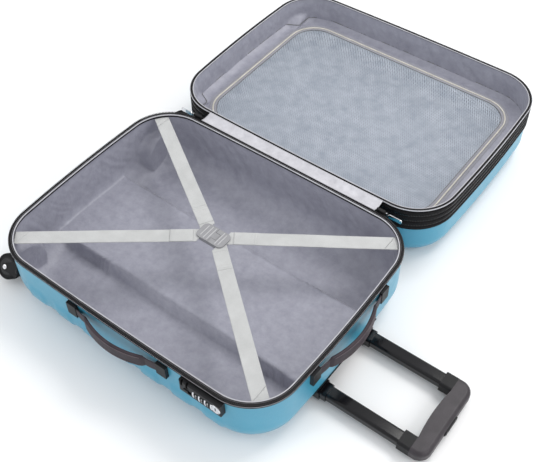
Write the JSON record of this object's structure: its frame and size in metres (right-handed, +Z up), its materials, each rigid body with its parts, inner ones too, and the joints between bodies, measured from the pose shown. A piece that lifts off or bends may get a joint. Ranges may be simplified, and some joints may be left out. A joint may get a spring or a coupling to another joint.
{
  "type": "hard shell suitcase on wheels",
  "caption": "Open hard-shell spinner suitcase: ribbed shell halves on a cloth hinge, telescoping handle, carry handles, dial lock, packing straps and mesh divider.",
  "frame": {"origin": "centre of the resting face of the back shell, on the middle cross rib", "axes": "+Z up with the case lying open on its back, +X towards the telescoping handle, +Y towards the lid"},
  "size_m": [0.6828, 0.7975, 0.112],
  "materials": {
    "shell_blue": "glossy, fine leather-like grain",
    "black_plastic": "matt moulded",
    "black_gloss": "gloss black anodised and lacquered tube",
    "rubber_grip": "soft satin",
    "tyre": "matt",
    "hub": "satin moulded",
    "steel": "bright",
    "chrome": "polished",
    "zip_tape": "woven black tape",
    "zip_teeth": "coil",
    "binding": "pale woven binding",
    "lining_satin": "grey satin",
    "divider_mesh": "fine open mesh",
    "divider_tape": "beige-grey tape",
    "webbing": "light grey webbing",
    "grey_plastic": "satin moulded",
    "strap_black": "flexible strap"
  },
  "bodies": {
    "base": {"back_shell": "shell_blue", "back_wheel_housings": "black_plastic", "back_swivel_pins": "steel", "back_rim_trim": "zip_tape", "back_zip_teeth": "zip_teeth", "back_lining": "lining_satin", "handle_bezel": "black_plastic", "handle_tube_foot": "black_plastic", "handle_outer_tubes": "black_gloss", "carry_handle_pockets": "black_plastic", "top_handle_tongues": "strap_black", "side_handle_tongues": "strap_black", "lock_body": "black_plastic", "strap_anchors": "webbing", "hinge_strip": "lining_satin"},
    "lid": {"front_shell": "shell_blue", "front_wheel_housings": "black_plastic", "front_swivel_pins": "steel", "lid_gusset": "zip_tape", "lid_rim_binding": "binding", "lid_zip_teeth": "zip_teeth", "lid_lining": "lining_satin", "divider_border": "lining_satin", "divider_zipper": "divider_tape", "divider_mesh": "divider_mesh"},
    "handle_middle": {"handle_middle_tubes": "black_gloss"},
    "handle_inner": {"handle_inner_tubes": "black_gloss", "grip_collars": "black_plastic", "handle_grip": "rubber_grip"},
    "handle_release": {"handle_button": "black_plastic", "handle_release_rods": "steel"},
    "top_carry_handle": {"top_handle_grip": "rubber_grip"},
    "side_carry_handle": {"side_handle_grip": "rubber_grip"},
    "strap_flap_left": {"strap_left": "webbing", "buckle_left": "grey_plastic"},
    "strap_flap_right": {"strap_right": "webbing", "buckle_right": "grey_plastic"},
    "slider_right": {"zip_slider_right": "chrome"},
    "pull_right": {"zip_pull_right": "chrome"},
    "slider_left": {"zip_slider_left": "chrome"},
    "pull_left": {"zip_pull_left": "chrome"},
    "divider_slider": {"divider_slider": "chrome"},
    "divider_pull": {"divider_pull": "chrome"},
    "release_slide": {"lock_release": "black_plastic"},
    "key_cylinder": {"lock_key_cylinder": "chrome"},
    "dial_1": {"lock_dial_1": "black_plastic"},
    "dial_2": {"lock_dial_2": "black_plastic"},
    "dial_3": {"lock_dial_3": "black_plastic"},
    "fork_back_near": {"spinner_fork_back_near": "black_plastic"},
    "wheel_back_near": {"spinner_hub_back_near": "hub", "spinner_tyre_back_near": "tyre"},
    "fork_back_far": {"spinner_fork_back_far": "black_plastic"},
    "wheel_back_far": {"spinner_hub_back_far": "hub", "spinner_tyre_back_far": "tyre"},
    "fork_front_near": {"spinner_fork_front_near": "black_plastic"},
    "wheel_front_near": {"spinner_hub_front_near": "hub", "spinner_tyre_front_near": "tyre"},
    "fork_front_far": {"spinner_fork_front_far": "black_plastic"},
    "wheel_front_far": {"spinner_hub_front_far": "hub", "spinner_tyre_front_far": "tyre"}
  },
  "joints": [
    {"name": "lid_hinge", "type": "hinge", "parent": "base", "child": "lid", "pos_m": [0, 0.1995, 0.1086], "axis": [1, 0, 0], "range_deg": [0, 180], "deforming": ["hinge_strip"]},
    {"name": "handle_lower_stage", "type": "slide", "parent": "base", "child": "handle_middle", "axis": [1, 0, 0], "range_m": [0, 0.23]},
    {"name": "handle_upper_stage", "type": "slide", "parent": "handle_middle", "child": "handle_inner", "axis": [1, 0, 0], "range_m": [-0.11, 0.13]},
    {"name": "handle_button_press", "type": "slide", "parent": "handle_inner", "child": "handle_release", "axis": [1, 0, 0], "range_m": [-0.003, 0], "stiffness_N_per_m": 800},
    {"name": "top_handle_pull", "type": "slide", "parent": "base", "child": "top_carry_handle", "axis": [1, 0, 0], "range_m": [0, 0.01], "stiffness_N_per_m": 900, "deforming": ["top_handle_tongues"]},
    {"name": "side_handle_pull", "type": "slide", "parent": "base", "child": "side_carry_handle", "axis": [0, -1, 0], "range_m": [0, 0.01], "stiffness_N_per_m": 900, "deforming": ["side_handle_tongues"]},
    {"name": "strap_left_lift", "type": "hinge", "parent": "base", "child": "strap_flap_left", "pos_m": [-0.214, 0, 0.1025], "axis": [0, 1, 0], "range_deg": [-110, 0]},
    {"name": "strap_right_lift", "type": "hinge", "parent": "base", "child": "strap_flap_right", "pos_m": [0.214, 0, 0.1025], "axis": [0, -1, 0], "range_deg": [-110, 0]},
    {"name": "right_slider_travel", "type": "hinge", "parent": "base", "child": "slider_right", "pos_m": [0.1733, 0.11446, 0.107], "axis": [0, 0, -1], "range_deg": [0, 75]},
    {"name": "left_slider_travel", "type": "hinge", "parent": "base", "child": "slider_left", "pos_m": [-0.1733, 0.11446, 0.107], "axis": [0, 0, 1], "range_deg": [0, 75]},
    {"name": "right_pull_swing", "type": "hinge", "parent": "slider_right", "child": "pull_right", "pos_m": [0.1825, 0.19121, 0.107], "axis": [0, 0, 1], "range_deg": [0, 25]},
    {"name": "left_pull_swing", "type": "hinge", "parent": "slider_left", "child": "pull_left", "pos_m": [-0.1825, 0.19121, 0.107], "axis": [0, 0, -1], "range_deg": [0, 25]},
    {"name": "divider_slider_travel", "type": "slide", "parent": "lid", "child": "divider_slider", "axis": [1, 0, 0], "range_m": [-0.12, 0.12]},
    {"name": "divider_pull_lift", "type": "hinge", "parent": "divider_slider", "child": "divider_pull", "pos_m": [-0.004, 0.242, 0.0676], "axis": [0, -1, 0], "range_deg": [0, 100]},
    {"name": "lock_release_slide", "type": "slide", "parent": "base", "child": "release_slide", "axis": [1, 0, 0], "range_m": [0, 0.004], "stiffness_N_per_m": 400},
    {"name": "key_turn", "type": "hinge", "parent": "base", "child": "key_cylinder", "pos_m": [0.178, -0.1897, 0.089], "axis": [0, 1, 0], "range_deg": [0, 90]},
    {"name": "dial_1_turn", "type": "hinge", "parent": "base", "child": "dial_1", "pos_m": [0.147, -0.1881, 0.088], "axis": [1, 0, 0], "continuous": true},
    {"name": "dial_2_turn", "type": "hinge", "parent": "base", "child": "dial_2", "pos_m": [0.1565, -0.1881, 0.088], "axis": [1, 0, 0], "continuous": true},
    {"name": "dial_3_turn", "type": "hinge", "parent": "base", "child": "dial_3", "pos_m": [0.166, -0.1881, 0.088], "axis": [1, 0, 0], "continuous": true},
    {"name": "swivel_back_near", "type": "hinge", "parent": "base", "child": "fork_back_near", "pos_m": [-0.224, -0.158, 0.0314], "axis": [1, 0, 0], "continuous": true},
    {"name": "roll_back_near", "type": "hinge", "parent": "fork_back_near", "child": "wheel_back_near", "pos_m": [-0.251, -0.16507, 0.02297], "axis": [0, 0.766, -0.6428], "continuous": true},
    {"name": "swivel_back_far", "type": "hinge", "parent": "base", "child": "fork_back_far", "pos_m": [-0.224, 0.158, 0.0314], "axis": [1, 0, 0], "continuous": true},
    {"name": "roll_back_far", "type": "hinge", "parent": "fork_back_far", "child": "wheel_back_far", "pos_m": [-0.251, 0.15335, 0.02143], "axis": [0, 0.9063, -0.4226], "continuous": true},
    {"name": "swivel_front_near", "type": "hinge", "parent": "lid", "child": "fork_front_near", "pos_m": [-0.224, 0.241, 0.0314], "axis": [1, 0, 0], "continuous": true},
    {"name": "roll_front_near", "type": "hinge", "parent": "fork_front_near", "child": "wheel_front_near", "pos_m": [-0.251, 0.23103, 0.02675], "axis": [0, 0.4226, -0.9063], "continuous": true},
    {"name": "swivel_front_far", "type": "hinge", "parent": "lid", "child": "fork_front_far", "pos_m": [-0.224, 0.557, 0.0314], "axis": [1, 0, 0], "continuous": true},
    {"name": "roll_front_far", "type": "hinge", "parent": "fork_front_far", "child": "wheel_front_far", "pos_m": [-0.251, 0.55985, 0.02077], "axis": [0, 0.9659, 0.2588], "continuous": true}
  ]
}
